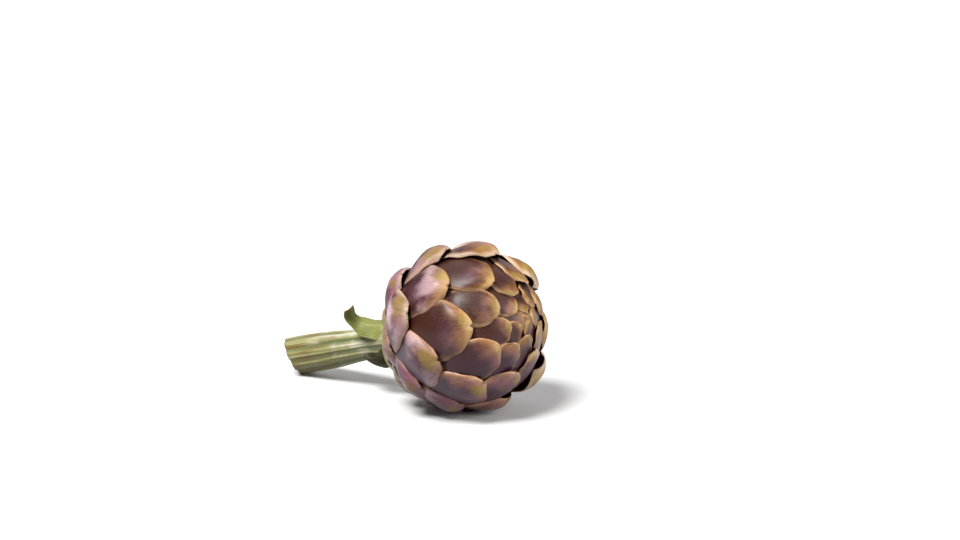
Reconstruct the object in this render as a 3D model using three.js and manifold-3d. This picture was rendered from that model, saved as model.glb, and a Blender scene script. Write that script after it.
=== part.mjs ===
// A purple globe artichoke, cut with a short stem and lying on its side.
//
// Frame: millimetres, +Z up. The origin is the middle of the flat spot that the head rests on, straight
// under the middle of the head. +X runs from the cut end of the stem towards the tip of the head.
//
// The head is a tight spiral of overlapping bracts round a solid heart, the stem is a ribbed stalk, and
// three small leaves grow where the stem meets the head.

import * as THREE from 'three';
import { mergeVertices } from 'three/addons/utils/BufferGeometryUtils.js';
import Module from 'manifold-3d';

const wasm = await Module();
wasm.setup();

// ---- Driving dimensions, in millimetres and degrees ----

const HEAD_RADIUS = 49; // the round outline that the tips of the bracts follow
const TIP_FLATTENING = 0.07; // share by which the head is flatter at its tip
const TIP_FLATTENED = [115, 180]; // polar angles over which it flattens towards its tip
const BASE_FLATTENING = 0.05; // share by which the head is flatter round the stem
const BASE_FLATTENED = [0, 60]; // polar angles over which it fills out from the stem
const REST_HEIGHT = 48.3; // middle of the head above the surface
const CLEARANCE = 0.3; // gap between pieces that touch

const STEM_REACH = 142; // from the middle of the head to the cut end
const STEM_TOP = 42; // from the middle of the head to the stem's end inside it
const STEM_CUT_RADIUS = 11.5; // at the cut end
const STEM_NECK_RADIUS = 8.8; // at its slimmest, just behind the head
const STEM_FLARE_RADIUS = 14.5; // where it opens out into the head
const STEM_FLARE_END = 84; // where the flare has died out, from the middle of the head
const STEM_TAPER = [68, 120]; // the stretch over which it thickens towards the cut
const STEM_RIBS = 9;
const STEM_RIB_DEPTH = 0.075; // share of the radius
const STEM_CUT_SLANT = 34; // the knife's cut, off square
const STEM_CUT_TURN = 60; // azimuth of the side where the cut leaves the stem longest
const STEM_RINGS = 14; // rows of faces along the stem
const RIB_SIDES = 4; // faces across each rib
const STEM_BOW = 1.6; // how far the middle of the stem bends sideways
const REST_FLAT = 0.6; // how far the head's belly and the low edge of the cut are worn flat where they rest

const LEAF_COLUMNS = 4; // faces across a neck leaf
const LEAF_ROWS = 9; // faces along it
const LEAF_THICKNESS = 2; // of a neck leaf, along its midrib at its root
const LEAF_TIP_WIDTH = 0.45; // width of a neck leaf at its tip against its widest
const LEAF_CUP = 0.35; // how far the sides of a neck leaf bend in, as a share of its half-width

// The neck leaves: azimuth from the head's upper side, how far the tip is twisted, half-width, and the line
// of the midrib as Bezier points, each a distance from the head's middle towards the cut and one off it.
const NECK_LEAVES = [
  {
    name: 'neck_leaf_upper',
    azimuth: -32,
    twist: -16,
    halfWidth: 10,
    line: [[50, 12], [66, 12.5], [80, 15.5], [72, 28.5]],
  },
  {
    name: 'neck_leaf_lower',
    azimuth: -138,
    twist: 0,
    halfWidth: 10,
    line: [[50, 8], [54, 21], [66, 18], [76, 11]],
  },
  {
    name: 'neck_leaf_rear',
    azimuth: 95,
    twist: 15,
    halfWidth: 6,
    line: [[50, 7], [54, 20], [64, 19], [71, 25]],
  },
];

const GOLDEN_ANGLE = 137.508; // turn from one bract to the next
const AZIMUTH_SCATTER = 12; // spread of the bracts about that turn
const FIRST_AZIMUTH = 336; // of the lowest bract, from the head's upper side
const FIRST_TIP = 34; // polar angle of the lowest bract's tip, from the stem
const LAST_TIP = 188; // polar angle of the last bract's tip, just over the head's own tip
const CLOSED_RING = 0.16; // the spiral's radius near the head's tip stays over this share of the head's
const ROOT_ANGLE = 11; // no bract starts nearer the stem than this
const LOW_SIZE = 0.62; // size of the lowest bracts against the largest
const LOW_RANGE = [30, 68]; // polar angles of the tips over which the bracts grow to their full size
const CROWN_SIZE = 0.28; // size of the last bracts against the largest
const CROWN_RANGE = [116, 178]; // polar angles of the tips over which the bracts shrink again
const BRACT_AREA = 880; // what shows of the largest bract, in square millimetres
const BRACT_HALF_WIDTH = 21.5; // of the largest bract
const BRACT_EXPOSURE = 27.2; // length of the largest bract that shows
const BRACT_OVERLAP = 1.7; // whole length over the length that shows
const SMALL_BREADTH = 0.75; // power of a bract's size that its outline follows: small ones overlap more
const WIDEST = 0.42; // where a bract is widest, as a share of its length from the root
const ROOT_WIDTH = 0.88; // width at the root as a share of the widest
const TIP_WIDTH = 0.34; // width of the blunt tip as a share of the widest
const TIP_NARROWING = 2.4; // over 1, a bract keeps its width for longer before it narrows to its tip
const TIP_ROUNDING = 0.05; // how far the corners of the blunt tip fall back, as a share of the length
const BRACT_THICKNESS = 2.3; // of the largest bract, at its middle
const BRACT_LAYER = 2.3; // how far one bract lifts off the one below it
const BRACT_BULGE = 2.3; // how far a bract's belly stands out
const BULGE_AT = 0.76; // where it stands out most, as a share of the length from the root
const BULGE_SPREAD = 0.2; // how far along the length the bulge spreads
const BRACT_TUCK = 2.2; // how far its sides press in
const BRACT_PRESS = 1.5; // how far its tip bends in to the bracts below it
const BRACT_FLARE = 1.2; // how far its tip can stand off
const BRACT_SQUEEZE = 4; // how far the bracts right under the head are squeezed out on to the surface
const SQUEEZED = [0.968, 0.99]; // how steeply down a point has to face from the head's middle to be squeezed
const HELD_DOWN = [-0.95, -0.6]; // how steeply a point faces down where the bracts can't stand off, and can
const CROWN_FLARE = 1.6; // flare of the bracts near the head's tip, as a share of the largest bract's
const EDGE_THICKNESS = 0.75;
const ROOT_DEPTH = 6; // how far the inner face of the largest bract sinks into the heart towards its root
const HEART_STEPS = 14; // faces of the heart from the stem to the tip
const HEART_SIDES = 24;
const ROW_CROWDING = 1.15; // over 1, the rows of faces lie closer together towards the tip

// Faces across and along a bract, for bracts up to each size against the largest.
const BRACT_FACES = [
  { upTo: 0.52, columns: 2, rows: 4 },
  { upTo: 0.8, columns: 4, rows: 5 },
  { upTo: 1, columns: 6, rows: 6 },
];

// Where bracts have opened away from the head: the middle and half-width of the stretch of azimuth, the
// polar angles of the tips that it takes in, and how far those tips stand off.
const OPENED = [
  { azimuth: 82, spread: 80, from: 108, to: 142, gap: 3.6 },
  { azimuth: 355, spread: 22, from: 74, to: 102, gap: 2.4 },
  { azimuth: 326, spread: 8, from: 66, to: 80, gap: 2.4 },
  { azimuth: 228, spread: 24, from: 36, to: 60, gap: 3.2 },
  { azimuth: 291, spread: 14, from: 70, to: 92, gap: 2.6 },
];

const radians = THREE.MathUtils.degToRad;
const degrees = THREE.MathUtils.radToDeg;
const smooth = (low, high, x) => THREE.MathUtils.smoothstep(x, low, high);

// A seeded draw from 0 to 1 that spreads evenly: draw(i, 0), draw(i, 1) ... are the draws of bract i.
const draw = (i, kind) => (0.9 + i * 0.7548776662 + kind * 0.5698402910) % 1;

// How far the slanting cut moves the stem's end along the axis, at an azimuth round the stem.
function cutSlant(azimuth) {
  return Math.cos(azimuth - radians(STEM_CUT_TURN)) * Math.tan(radians(STEM_CUT_SLANT)) * STEM_CUT_RADIUS;
}

// ---- The head's own axis: it leans so that the flat spot and the stem's cut end touch the surface ----

const lowEdgeReach = STEM_REACH + cutSlant(Math.PI);
const TILT = Math.asin((REST_HEIGHT + REST_FLAT) / Math.hypot(lowEdgeReach, STEM_CUT_RADIUS))
  - Math.atan(STEM_CUT_RADIUS / lowEdgeReach);
const CENTRE = new THREE.Vector3(0, 0, REST_HEIGHT);
const AXIS = new THREE.Vector3(Math.cos(TILT), 0, Math.sin(TILT));
const UPPER = new THREE.Vector3(-Math.sin(TILT), 0, Math.cos(TILT));
const SIDE = new THREE.Vector3(0, 1, 0);

// Unit vector across the axis at an azimuth: 0 is the head's upper side, 90 is towards +Y.
function across(azimuth) {
  return UPPER.clone().multiplyScalar(Math.cos(azimuth)).addScaledVector(SIDE, Math.sin(azimuth));
}

// Unit vector from the head's middle, by polar angle from the stem and azimuth.
function headDirection(polar, azimuth) {
  return across(azimuth).multiplyScalar(Math.sin(polar)).addScaledVector(AXIS, -Math.cos(polar));
}

// A point by its distance along the axis from the head's middle and its distance off the axis.
function axisPoint(along, off, azimuth) {
  return CENTRE.clone().addScaledVector(AXIS, along).addScaledVector(across(azimuth), off);
}

// Radius of the head's outline at a polar angle in degrees.
function outlineRadius(polar) {
  const tip = TIP_FLATTENING * smooth(...TIP_FLATTENED, polar);
  const base = BASE_FLATTENING * (1 - smooth(...BASE_FLATTENED, polar));
  return HEAD_RADIUS * (1 - tip - base);
}

// How far a bract can reach from the head's middle before the surface that the head lies on presses it flat.
function roomToSurface(direction) {
  return direction.z < 0 ? (REST_HEIGHT + REST_FLAT) / -direction.z : Infinity;
}

// ---- Solids ----

// A closed geometry as a solid that can be cut and joined, its shared vertices merged.
function toSolid(geometry) {
  const bare = new THREE.BufferGeometry().setAttribute('position', geometry.getAttribute('position'));
  bare.setIndex(geometry.index);
  const merged = mergeVertices(bare, 1e-4);
  return new wasm.Manifold(new wasm.Mesh({
    numProp: 3,
    vertProperties: new Float32Array(merged.attributes.position.array),
    triVerts: new Uint32Array(merged.index.array),
  }));
}

// The largest body of a solid: hollows that the joining sealed are filled and loose scraps dropped.
function mainBody(solid) {
  return solid.decompose().reduce((best, body) => (body.volume() > best.volume() ? body : best));
}

function toMesh(name, solid, colour, roughness) {
  const { vertProperties, triVerts } = solid.getMesh();
  const geometry = new THREE.BufferGeometry();
  geometry.setAttribute('position', new THREE.BufferAttribute(vertProperties, 3));
  geometry.setIndex(new THREE.BufferAttribute(triVerts, 1));
  geometry.computeVertexNormals();
  const material = new THREE.MeshStandardMaterial({ color: colour, roughness, metalness: 0 });
  const mesh = new THREE.Mesh(geometry, material);
  mesh.name = name;
  return mesh;
}

function indexedGeometry(points, faces) {
  const geometry = new THREE.BufferGeometry().setFromPoints(points);
  geometry.setIndex(faces);
  return geometry;
}

// A closed two-sided blade from pointAt(u, v, face): u runs from -1 to 1 across it, v from 0 at the root to
// 1 at the tip, and face is 1 on the outer side and 0 on the inner side. Both faces are split alike.
function bladeGeometry(columns, rows, pointAt) {
  const points = [];
  for (const face of [1, 0]) {
    for (let row = 0; row <= rows; row++) {
      for (let column = 0; column <= columns; column++) {
        points.push(pointAt((2 * column) / columns - 1, row / rows, face));
      }
    }
  }
  const at = (face, row, column) => face * (rows + 1) * (columns + 1) + row * (columns + 1) + column;
  const faces = [];
  for (let row = 0; row < rows; row++) {
    for (let column = 0; column < columns; column++) {
      const leans = column < columns / 2; // the diagonals mirror about the midrib
      const [a, b, c, d] = [[row, column], [row, column + 1], [row + 1, column + 1], [row + 1, column]];
      const halves = leans ? [[a, b, c], [a, c, d]] : [[a, b, d], [b, c, d]];
      for (const half of halves) {
        faces.push(...half.map((corner) => at(0, ...corner)).reverse());
        faces.push(...half.map((corner) => at(1, ...corner)));
      }
    }
  }
  const rim = [];
  for (let column = 0; column < columns; column++) rim.push([0, column]);
  for (let row = 0; row < rows; row++) rim.push([row, columns]);
  for (let column = columns; column > 0; column--) rim.push([rows, column]);
  for (let row = rows; row > 0; row--) rim.push([row, 0]);
  rim.forEach((from, i) => {
    const to = rim[(i + 1) % rim.length];
    faces.push(at(1, ...to), at(1, ...from), at(0, ...to));
    faces.push(at(0, ...to), at(1, ...from), at(0, ...from));
  });
  return indexedGeometry(points, faces);
}

// ---- The head ----

// Size of a bract against the largest, by the polar angle of its tip: small at the stem and at the tip.
function bractSize(tip) {
  const low = THREE.MathUtils.lerp(LOW_SIZE, 1, smooth(...LOW_RANGE, tip));
  return low * THREE.MathUtils.lerp(1, CROWN_SIZE, smooth(...CROWN_RANGE, tip));
}

// The spiral: each bract's tip is a golden angle round from the last, and further from the stem by what
// shows of one bract.
function bractSpiral() {
  const bracts = [];
  for (let i = 0, tip = FIRST_TIP; tip < LAST_TIP; i++) {
    const size = bractSize(tip);
    const shownArea = BRACT_AREA * size * size;
    const azimuth = FIRST_AZIMUTH + i * GOLDEN_ANGLE + (draw(i, 0) - 0.5) * AZIMUTH_SCATTER;
    const breadth = size ** SMALL_BREADTH;
    const room = radians(tip - ROOT_ANGLE) * HEAD_RADIUS;
    bracts.push({
      tip: radians(tip),
      azimuth: radians(azimuth),
      size,
      exposure: BRACT_EXPOSURE * size,
      length: Math.min(BRACT_EXPOSURE * BRACT_OVERLAP * breadth, room),
      halfWidth: BRACT_HALF_WIDTH * breadth * (0.94 + 0.12 * draw(i, 1)),
      flare: BRACT_FLARE * Math.max(size, CROWN_FLARE * smooth(110, 140, tip)) * draw(i, 2) ** 2,
      bulge: BRACT_BULGE * size * (0.8 + 0.4 * draw(i, 3)),
      loose: looseness(tip, azimuth) * (0.7 + 0.3 * draw(i, 4)),
    });
    const ring = 2 * Math.PI * HEAD_RADIUS * Math.max(Math.sin(radians(tip)), CLOSED_RING);
    tip += degrees(shownArea / ring / HEAD_RADIUS);
  }
  return bracts;
}

// How far a bract of some size lifts off the one below it.
function layerHeight(size) {
  return BRACT_LAYER * (0.35 + 0.65 * size);
}

// How far a bract has opened away from the head, in millimetres.
function looseness(tip, azimuth) {
  return OPENED.reduce((most, stretch) => {
    const turn = Math.abs(THREE.MathUtils.euclideanModulo(azimuth - stretch.azimuth + 180, 360) - 180);
    const inside = turn < stretch.spread && tip > stretch.from && tip < stretch.to;
    return Math.max(most, inside ? stretch.gap : 0);
  }, 0);
}

// Half-width of a bract against its widest, from its root at 0 to its blunt tip at 1.
function bractWidening(v) {
  const rise = ROOT_WIDTH + (1 - ROOT_WIDTH) * Math.sin((Math.PI / 2) * Math.min(1, v / WIDEST));
  return rise - (1 - TIP_WIDTH) * Math.max(0, (v - WIDEST) / (1 - WIDEST)) ** TIP_NARROWING;
}

// A point of a bract. The blade follows the head's round outline at its tip and dips under the bracts
// outside it towards its root.
function bractPoint(bract, u, v, face) {
  const side = Math.abs(u);
  const widening = bractWidening(v);
  const along = bract.length * (v - TIP_ROUNDING * side ** 2 * v * v);
  const back = (bract.length - along) / HEAD_RADIUS;
  const aside = (u * widening * bract.halfWidth) / HEAD_RADIUS;

  const tip = headDirection(bract.tip, bract.azimuth);
  const toRoot = headDirection(bract.tip - Math.PI / 2, bract.azimuth);
  const sideways = across(bract.azimuth + Math.PI / 2);
  const direction = tip.multiplyScalar(Math.cos(back)).addScaledVector(toRoot, Math.sin(back))
    .multiplyScalar(Math.cos(aside)).addScaledVector(sideways, Math.sin(aside));

  const dip = (layerHeight(bract.size) * (bract.length - along)) / bract.exposure;
  const belly = bract.bulge * Math.exp(-(((v - BULGE_AT) / BULGE_SPREAD) ** 2)) * (1 - u * u);
  const tuck = BRACT_TUCK * bract.size * side ** 2.5;
  const opening = bract.loose * smooth(0.15, 0.7, v) * (1 - 0.4 * smooth(0.7, 1, v));
  const press = BRACT_PRESS * bract.size * smooth(0.8, 1, v) ** 1.5;
  const free = smooth(...HELD_DOWN, direction.z); // bracts that the head lies on can't stand off
  const squeeze = BRACT_SQUEEZE * smooth(...SQUEEZED, -direction.z);
  const lift = (bract.flare * smooth(0.74, 1, v) ** 2 + opening) * free + squeeze - press;
  const fullness = (1 - 0.7 * side ** 3) * (1 - 0.7 * v ** 5);
  const thickness = Math.max(EDGE_THICKNESS, BRACT_THICKNESS * (0.45 + 0.55 * bract.size) * fullness);
  const polar = degrees(Math.acos(THREE.MathUtils.clamp(-direction.dot(AXIS), -1, 1)));
  const sunk = thickness + ROOT_DEPTH * bract.size * (1 - smooth(0.3, 0.85, v));
  const radius = Math.min(outlineRadius(polar) - dip + belly - tuck + lift, roomToSurface(direction));
  return CENTRE.clone().addScaledVector(direction, face ? radius : radius - sunk);
}

function bractSolid(bract) {
  const { columns, rows } = BRACT_FACES.find((faces) => bract.size <= faces.upTo);
  const pointAt = (u, v, face) => bractPoint(bract, u, 1 - (1 - v) ** ROW_CROWDING, face);
  return toSolid(bladeGeometry(columns, rows, pointAt));
}

// The fleshy heart and the hidden roots of the bracts: a round body under the lowest of the blades.
function heartSolid() {
  const profile = [];
  for (let i = 0; i <= HEART_STEPS; i++) {
    const polar = (180 * i) / HEART_STEPS;
    const depth = layerHeight(bractSize(polar)) * 1.35 + 0.6;
    const radius = outlineRadius(polar) - depth;
    const off = i % HEART_STEPS === 0 ? 0 : radius * Math.sin(radians(polar));
    profile.push(new THREE.Vector2(off, -radius * Math.cos(radians(polar))));
  }
  const lathe = new THREE.LatheGeometry(profile, HEART_SIDES);
  lathe.applyMatrix4(axisFrame());
  return toSolid(lathe);
}

// Places what is modelled round +Y on the head's own axis.
function axisFrame() {
  const turn = new THREE.Matrix4().makeBasis(UPPER.clone(), AXIS, SIDE.clone());
  return new THREE.Matrix4().makeTranslation(CENTRE).multiply(turn);
}

// Everything under the surface that the artichoke lies on, down to below its lowest point.
function surfaceBlock() {
  const size = 400;
  return toSolid(new THREE.BoxGeometry(size, size, size).translate(0, 0, -size / 2));
}

function headSolid(ground) {
  const pieces = [heartSolid(), ...bractSpiral().map(bractSolid)];
  const fused = wasm.Manifold.union(pieces);
  return mainBody(fused.subtract(stemSolid(CLEARANCE)).subtract(ground));
}

// ---- The stem ----

// Radius of the stem at a distance from the head's middle, without its ribs.
function stemRadius(reach) {
  const flare = (STEM_FLARE_RADIUS - STEM_NECK_RADIUS) * (1 - smooth(STEM_TOP, STEM_FLARE_END, reach));
  const taper = (STEM_CUT_RADIUS - STEM_NECK_RADIUS) * smooth(...STEM_TAPER, reach);
  return STEM_NECK_RADIUS + flare + taper;
}

// The ribbed stalk, grown by a clearance where it is used to cut its own socket.
function stemSolid(grow) {
  const around = STEM_RIBS * RIB_SIDES;
  const points = [];
  for (let ring = 0; ring <= STEM_RINGS; ring++) {
    for (let step = 0; step < around; step++) {
      const azimuth = (2 * Math.PI * step) / around;
      const share = ring / STEM_RINGS;
      const straight = THREE.MathUtils.lerp(STEM_TOP - grow, STEM_REACH + grow, share);
      const reach = straight + cutSlant(azimuth) * share ** 3;
      const rib = 1 + STEM_RIB_DEPTH * (Math.abs(Math.cos((STEM_RIBS * azimuth) / 2)) - 0.5);
      const off = stemRadius(reach) * rib + grow;
      const bow = STEM_BOW * Math.sin(Math.PI * share);
      points.push(axisPoint(-reach, off, azimuth).addScaledVector(SIDE, bow));
    }
  }
  return toSolid(tubeGeometry(points, around, STEM_RINGS));
}

// A closed tube from rings of points, with a flat fan round a hub at each end.
function tubeGeometry(ringPoints, around, rings) {
  const points = [...ringPoints];
  const faces = [];
  for (let ring = 0; ring < rings; ring++) {
    for (let step = 0; step < around; step++) {
      const next = (step + 1) % around;
      const [a, b] = [ring * around + step, ring * around + next];
      faces.push(a, b, a + around, b, b + around, a + around);
    }
  }
  for (const [ring, reversed] of [[0, true], [rings, false]]) {
    const hub = points.length;
    const middle = new THREE.Vector3();
    for (const point of ringPoints.slice(ring * around, (ring + 1) * around)) middle.add(point);
    points.push(middle.divideScalar(around));
    for (let step = 0; step < around; step++) {
      const [a, b] = [ring * around + step, ring * around + ((step + 1) % around)];
      faces.push(...(reversed ? [a, hub, b] : [b, hub, a]));
    }
  }
  return indexedGeometry(points, faces);
}

// ---- The small leaves at the neck ----

// A point of a neck leaf: a cupped, twisted blade along a curve that starts in the stem and leaves it.
function neckLeafPoint(leaf, line, u, v, face) {
  const middle = line.getPoint(v);
  const heading = line.getTangent(v);
  const belly = 0.75 + 0.25 * Math.sin(Math.PI * Math.min(1, v * 1.6));
  const width = leaf.halfWidth * THREE.MathUtils.lerp(1, LEAF_TIP_WIDTH, v ** 1.1) * belly;
  const twist = radians(leaf.twist) * smooth(0.2, 0.9, v);
  const cup = LEAF_CUP * width * u * u;
  const thickness = Math.max(EDGE_THICKNESS, LEAF_THICKNESS * (1 - 0.6 * u * u) * (1 - 0.6 * v));
  const proud = (face ? 0 : -thickness) - cup + u * width * Math.sin(twist);
  const reach = middle.x - heading.y * proud;
  const off = middle.y + heading.x * proud;
  return axisPoint(-reach, off, radians(leaf.azimuth))
    .addScaledVector(across(radians(leaf.azimuth - 90)), u * width * Math.cos(twist));
}

function neckLeafSolid(leaf) {
  const line = new THREE.CubicBezierCurve(...leaf.line.map(([reach, off]) => new THREE.Vector2(reach, off)));
  const pointAt = (u, v, face) => neckLeafPoint(leaf, line, u, v, face);
  const blade = toSolid(bladeGeometry(LEAF_COLUMNS, LEAF_ROWS, pointAt));
  return mainBody(blade.subtract(stemSolid(CLEARANCE)));
}

// ---- The whole artichoke ----

function buildArtichoke() {
  const ground = surfaceBlock();
  const artichoke = new THREE.Group();
  artichoke.add(toMesh('head', headSolid(ground), 0x8d6a70, 0.5));
  artichoke.add(toMesh('stem', stemSolid(0).subtract(ground), 0xb3b583, 0.6));
  for (const leaf of NECK_LEAVES) {
    artichoke.add(toMesh(leaf.name, neckLeafSolid(leaf), 0x8f9450, 0.55));
  }
  return artichoke;
}

export default buildArtichoke();
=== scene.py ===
"""A purple globe artichoke lying on its side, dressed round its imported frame."""

import math
from dataclasses import astuple, dataclass, fields

import bpy
from bpy.props import FloatProperty, FloatVectorProperty, IntProperty, PointerProperty
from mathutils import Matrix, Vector


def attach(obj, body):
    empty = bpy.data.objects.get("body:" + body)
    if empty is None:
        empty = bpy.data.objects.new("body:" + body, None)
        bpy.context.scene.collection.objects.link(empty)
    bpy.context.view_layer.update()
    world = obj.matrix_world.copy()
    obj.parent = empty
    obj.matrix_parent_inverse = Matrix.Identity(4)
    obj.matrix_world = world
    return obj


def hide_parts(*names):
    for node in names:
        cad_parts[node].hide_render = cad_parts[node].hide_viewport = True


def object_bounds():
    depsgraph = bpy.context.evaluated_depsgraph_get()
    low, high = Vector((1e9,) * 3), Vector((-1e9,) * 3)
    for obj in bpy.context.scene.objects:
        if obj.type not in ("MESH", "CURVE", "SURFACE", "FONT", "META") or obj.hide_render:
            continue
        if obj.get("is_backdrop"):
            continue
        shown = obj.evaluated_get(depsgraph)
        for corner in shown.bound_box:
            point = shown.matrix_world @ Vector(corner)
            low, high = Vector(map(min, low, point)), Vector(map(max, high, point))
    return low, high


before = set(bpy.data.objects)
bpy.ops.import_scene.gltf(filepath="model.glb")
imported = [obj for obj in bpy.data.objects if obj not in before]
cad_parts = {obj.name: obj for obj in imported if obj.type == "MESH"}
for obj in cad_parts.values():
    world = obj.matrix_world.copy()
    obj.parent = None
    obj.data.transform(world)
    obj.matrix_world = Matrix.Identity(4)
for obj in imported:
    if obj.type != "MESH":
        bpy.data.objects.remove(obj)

bl_info = {
    "name": "Globe artichoke",
    "version": (1, 0, 0),
    "blender": (4, 5, 0),
    "location": "View3D > Sidebar > Artichoke",
    "description": "Bracts, heart, stem and neck leaves of a purple globe artichoke",
    "category": "Add Mesh",
}

CAD_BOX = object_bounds()
MM = 0.001

# The spiral that the bracts grow in, in degrees.
GOLDEN_ANGLE = 137.508
AZIMUTH_SCATTER = 12
FIRST_AZIMUTH = 336
FIRST_TIP = 34
LAST_TIP = 188
ROOT_ANGLE = 11  # no bract starts nearer the stem than this
CLOSED_RING = 0.16  # near the head's tip the spiral's radius stays over this share of the head's

# The size of a bract against the largest: at the stem, at the head's tip, and the polar angles, in degrees,
# over which it grows and shrinks again.
LOW_SIZE = 0.62
LOW_RANGE = (30, 68)
CROWN_SIZE = 0.28
CROWN_RANGE = (116, 178)

# The polar angles over which the head flattens towards its tip and fills out from the stem.
TIP_FLATTENED = (115, 180)
BASE_FLATTENED = (0, 60)

# The outline of one bract, in shares of its length and of its widest half-width.
WIDEST = 0.42
ROOT_WIDTH = 0.88
TIP_WIDTH = 0.34
TIP_NARROWING = 2.4
TIP_ROUNDING = 0.05
BULGE_AT = 0.76
BULGE_SPREAD = 0.2
ROOT_NARROWING = 2

# How steeply a point faces down, as the height of its direction from the head's middle: where bracts can't
# stand off, and where they are squeezed out on to the surface.
HELD_DOWN = (-0.95, -0.6)
SQUEEZED = (-0.99, -0.968)

# The share of the lift of one layer of bracts that the smallest bract has, and what its size adds.
THIN_LAYER = 0.35
THICK_LAYER = 0.65

# Where bracts have opened: azimuth and half-width of the stretch, the tips that it takes in, and the gap.
OPENED = (
    (82, 80, 108, 142, 3.6 * MM),
    (355, 22, 74, 102, 2.4 * MM),
    (326, 8, 66, 80, 2.4 * MM),
    (228, 24, 36, 60, 3.2 * MM),
    (291, 14, 70, 92, 2.6 * MM),
)

# The tips whose margins ruffle, and how much higher their waves grow.
RUFFLED = (104, 132)
RUFFLE = 2.2

# The pieces of the head: name, the tips that each takes in, and the faces across and along one bract.
BRACT_ROWS = (
    ("outer_bracts", 0, 96, 26, 34),
    ("middle_bracts", 96, 138, 22, 28),
    ("crown_bracts", 138, 360, 16, 20),
)

# The neck leaves: azimuth, twist, half-width, and the midrib's Bezier points (along the axis, off the axis).
NECK_LEAVES = (
    ("neck_leaf_upper", -32, -16, 10.0, ((50, 12), (66, 12.5), (80, 15.5), (72, 28.5))),
    ("neck_leaf_lower", -138, 0, 10.0, ((50, 8), (54, 21), (66, 18), (76, 11))),
    ("neck_leaf_rear", 95, 15, 6.0, ((50, 7), (54, 20), (64, 19), (71, 25))),
)
# The lower leaf is painted dark olive brown as painted shade, where it lies in shade under the neck.
SHADED_LEAF = "neck_leaf_lower"
LEAF_TIP_WIDTH = 0.45

# How closely the faces of a blade crowd towards its tip and its margins, and the share of its thickness by
# which each of its edges is rounded off.
ROW_CROWDING = 1.25
SIDE_CROWDING = 0.45
EDGE_ROUNDING = 0.38


def smooth(low, high, x):
    """0 below low, 1 above high, and a smooth step between."""
    t = min(1.0, max(0.0, (x - low) / (high - low)))
    return t * t * (3 - 2 * t)


def draw(i, kind):
    """A seeded draw from 0 to 1 that spreads evenly."""
    return (0.9 + i * 0.7548776662 + kind * 0.5698402910) % 1


# ---- Sizes and colours ----


def length(name, description, default):
    return FloatProperty(name=name, description=description, default=default, unit="LENGTH", precision=5)


def share(name, description, default):
    return FloatProperty(name=name, description=description, default=default, subtype="FACTOR")


def degrees(name, description, default):
    return FloatProperty(
        name=name, description=description, default=math.radians(default), subtype="ANGLE"
    )


def strength(name, description, default):
    return FloatProperty(name=name, description=description, default=default)


def colour(name, description, red, green, blue):
    """A colour property from screen values out of 255."""
    linear = [((c / 255 + 0.055) / 1.055) ** 2.4 for c in (red, green, blue)]
    return FloatVectorProperty(
        name=name, description=description, default=(*linear, 1), size=4, subtype="COLOR", min=0, max=1
    )


class HeadSizes(bpy.types.PropertyGroup):
    """Sizes of the head and its bracts."""

    radius: length("Radius", "Round outline that the tips of the bracts follow", 0.049)
    tip_flattening: share("Tip flattening", "Share by which the head is flatter at its tip", 0.07)
    base_flattening: share("Base flattening", "Share by which it is flatter round the stem", 0.05)
    rest_height: length("Rest height", "Middle of the head above the surface", 0.0483)
    bract_area: FloatProperty(
        name="Bract area", description="What shows of the largest bract",
        default=880e-6, unit="AREA", precision=6,
    )
    half_width: length("Half-width", "Half-width of the largest bract", 0.0215)
    exposure: length("Exposure", "Length of the largest bract that shows", 0.0272)
    overlap: share("Overlap", "Length over what shows, as the bract's shape counts it", 1.7)
    small_breadth: share("Small breadth", "Power of a bract's size that its outline follows", 0.75)
    hidden: share("Hidden root", "How much further a bract runs under the others, as a share", 0.45)
    root_sink: length("Root sink", "How steeply the hidden root bends in to the heart", 0.02)
    layer: length("Layer", "How far one bract lifts off the one below it", 0.0023)
    thickness: length("Thickness", "Thickness of the largest bract at its middle", 0.0021)
    edge: length("Edge", "Thickness of a bract's margin", 0.0011)
    bulge: length("Bulge", "How far a bract's belly stands out", 0.0023)
    tuck: length("Tuck", "How far the sides press in", 0.0022)
    press: length("Press", "How far a tip bends in to the bracts below it", 0.0015)
    flare: length("Flare", "How far a tip can stand off", 0.0012)
    squeeze: length("Squeeze", "How far bracts right under the head are squeezed on to the surface", 0.004)
    crown_flare: share("Crown flare", "Flare near the head's tip against the largest bract's", 1.6)
    keel: length("Keel", "Height of the low keel along the middle", 0.00035)
    wave: length("Wave", "Height of the waves along the margin", 0.0006)
    notch: share("Notch", "Depth of the notch at the tip, as a share of the length", 0.025)
    twist: length("Twist", "How far one side laps over the next bract", 0.0005)
    seed: IntProperty(name="Seed", description="Seed of the waves and twists", default=7)


class StemSizes(bpy.types.PropertyGroup):
    """Sizes of the stem."""

    reach: length("Reach", "From the middle of the head to the cut end", 0.142)
    top: length("Top", "From the middle of the head to the stem's end inside it", 0.042)
    cut_radius: length("Cut radius", "Radius at the cut end", 0.0115)
    neck_radius: length("Neck radius", "Radius at the slimmest, just behind the head", 0.0088)
    flare_radius: length("Flare radius", "Radius where the stem opens out into the head", 0.0145)
    flare_end: length("Flare end", "Where the flare has died out, from the middle of the head", 0.084)
    ribs: IntProperty(name="Ribs", description="Ribs round the stem", default=9)
    rib_depth: share("Rib depth", "Depth of the ribs as a share of the radius", 0.075)
    fine_ribs: share("Fine ribs", "Depth of the fine ribs between them", 0.012)
    slant: degrees("Slant", "Knife's cut off square", 34)
    slant_turn: degrees("Slant turn", "Side where the stem is longest", 60)
    bow: length("Bow", "How far the middle of the stem bends sideways", 0.0016)
    hollow: length("Hollow", "How far the pith has shrunk into the cut", 0.0009)


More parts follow.
